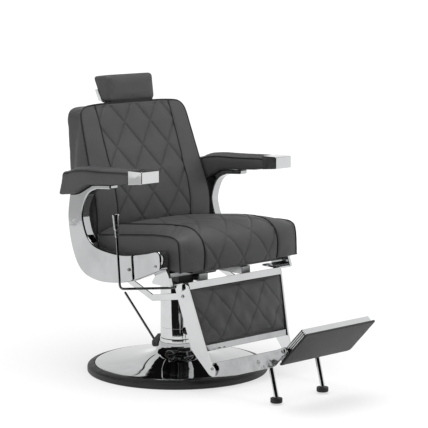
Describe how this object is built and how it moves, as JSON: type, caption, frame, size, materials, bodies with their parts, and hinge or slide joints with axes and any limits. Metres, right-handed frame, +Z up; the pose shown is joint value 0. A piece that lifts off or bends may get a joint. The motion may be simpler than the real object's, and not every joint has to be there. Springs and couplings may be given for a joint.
{
  "type": "barber chair",
  "caption": "Hydraulic barber chair with a round chrome base, quilted leather seat, cast chrome arms, reclining back, sliding headrest, linked legrest and folding footplate.",
  "frame": {"origin": "centre of the base, on the floor", "axes": "+Z up, -Y the way the sitter faces, +X to the sitter's left"},
  "size_m": [0.6988, 1.0806, 1.0024],
  "materials": {
    "chrome": "mirror polished",
    "brushed_steel": "brushed",
    "black_enamel": "satin",
    "dark_rubber": "matte",
    "grey_leather": "satin",
    "plywood": "matte",
    "satin_grip": "satin"
  },
  "bodies": {
    "base": {"base_ring": "dark_rubber", "base_plate": "brushed_steel", "base_dome": "chrome", "pump_cylinder": "chrome", "pump_collar": "chrome", "pedal_bracket": "black_enamel"},
    "pedal": {"pedal_rod": "chrome"},
    "column": {"lift_ram": "chrome", "column_sleeve": "chrome", "ram_head": "brushed_steel"},
    "seat": {"swivel_plate": "black_enamel", "seat_rail_L": "brushed_steel", "seat_rail_R": "brushed_steel", "seat_cross_front": "brushed_steel", "seat_cross_middle": "brushed_steel", "seat_board": "black_enamel", "recline_lock": "black_enamel", "front_bracket_L": "chrome", "front_bracket_R": "chrome", "arm_frame_L": "chrome", "arm_frame_R": "chrome", "armrest_pad_L": "grey_leather", "armrest_pad_R": "grey_leather", "armrest_cap_L": "chrome", "armrest_cap_R": "chrome", "seat_cushion": "grey_leather", "recline_pin_L": "brushed_steel", "recline_pin_R": "brushed_steel", "lever_bracket": "black_enamel"},
    "lever": {"lever_rod": "chrome", "lever_grip": "satin_grip"},
    "backrest": {"back_cushion": "grey_leather", "back_board": "plywood", "back_shell": "grey_leather", "back_crank_L": "brushed_steel", "back_crank_R": "brushed_steel", "headrest_guide": "brushed_steel"},
    "headrest": {"headrest_bar": "chrome", "headrest_bracket": "chrome", "headrest_cushion": "grey_leather"},
    "link_left": {"link_L": "chrome"},
    "link_right": {"link_R": "chrome"},
    "legrest": {"legrest_plate_L": "chrome", "legrest_plate_R": "chrome", "legrest_cushion": "grey_leather", "legrest_panel": "black_enamel", "legrest_strip_top": "chrome", "legrest_strip_bottom": "chrome", "footrest_arm_L": "chrome", "footrest_arm_R": "chrome", "footrest_crossbar": "chrome", "footrest_post_L": "chrome", "footrest_post_R": "chrome", "rubber_foot_L": "dark_rubber", "rubber_foot_R": "dark_rubber"},
    "footplate": {"footplate_frame": "chrome", "footplate_pad": "grey_leather", "footplate_tread": "dark_rubber"}
  },
  "joints": [
    {"name": "lift", "type": "slide", "parent": "base", "child": "column", "axis": [0, 0, 1], "range_m": [0, 0.16]},
    {"name": "swivel", "type": "hinge", "parent": "column", "child": "seat", "pos_m": [0, 0, 0.34], "axis": [0, 0, 1], "continuous": true},
    {"name": "recline", "type": "hinge", "parent": "seat", "child": "backrest", "pos_m": [0, 0.152, 0.412], "axis": [-1, 0, 0], "range_deg": [0, 45]},
    {"name": "legrest_swing", "type": "hinge", "parent": "seat", "child": "legrest", "pos_m": [0, -0.2555, 0.346], "axis": [-1, 0, 0], "range_deg": [0, 45]},
    {"name": "link_left_pivot", "type": "hinge", "parent": "backrest", "child": "link_left", "pos_m": [0, 0.1485, 0.383], "axis": [-1, 0, 0], "range_deg": [-45, 0]},
    {"name": "link_right_pivot", "type": "hinge", "parent": "backrest", "child": "link_right", "pos_m": [0, 0.1485, 0.383], "axis": [-1, 0, 0], "range_deg": [-45, 0]},
    {"name": "footplate_flip", "type": "hinge", "parent": "legrest", "child": "footplate", "pos_m": [0, -0.67625, 0.19744], "axis": [-1, 0, 0], "range_deg": [0, 100]},
    {"name": "headrest_slide", "type": "slide", "parent": "backrest", "child": "headrest", "axis": [0, 0.1816, 0.9834], "range_m": [0, 0.1]},
    {"name": "recline_lever", "type": "hinge", "parent": "seat", "child": "lever", "pos_m": [0, -0.125, 0.317], "axis": [-1, 0, 0], "range_deg": [0, 15], "stiffness_Nm_per_rad": 3, "springref_deg": -11.46},
    {"name": "pump_pedal", "type": "hinge", "parent": "base", "child": "pedal", "pos_m": [0, 0.106, 0.072], "axis": [-1, 0, 0], "range_deg": [0, 15], "stiffness_Nm_per_rad": 15, "springref_deg": -5.73}
  ],
  "couplings": [
    {"joint": "legrest_swing", "follows": "recline", "ratio": 1},
    {"joint": "link_left_pivot", "follows": "recline", "ratio": -1},
    {"joint": "link_right_pivot", "follows": "recline", "ratio": -1}
  ]
}
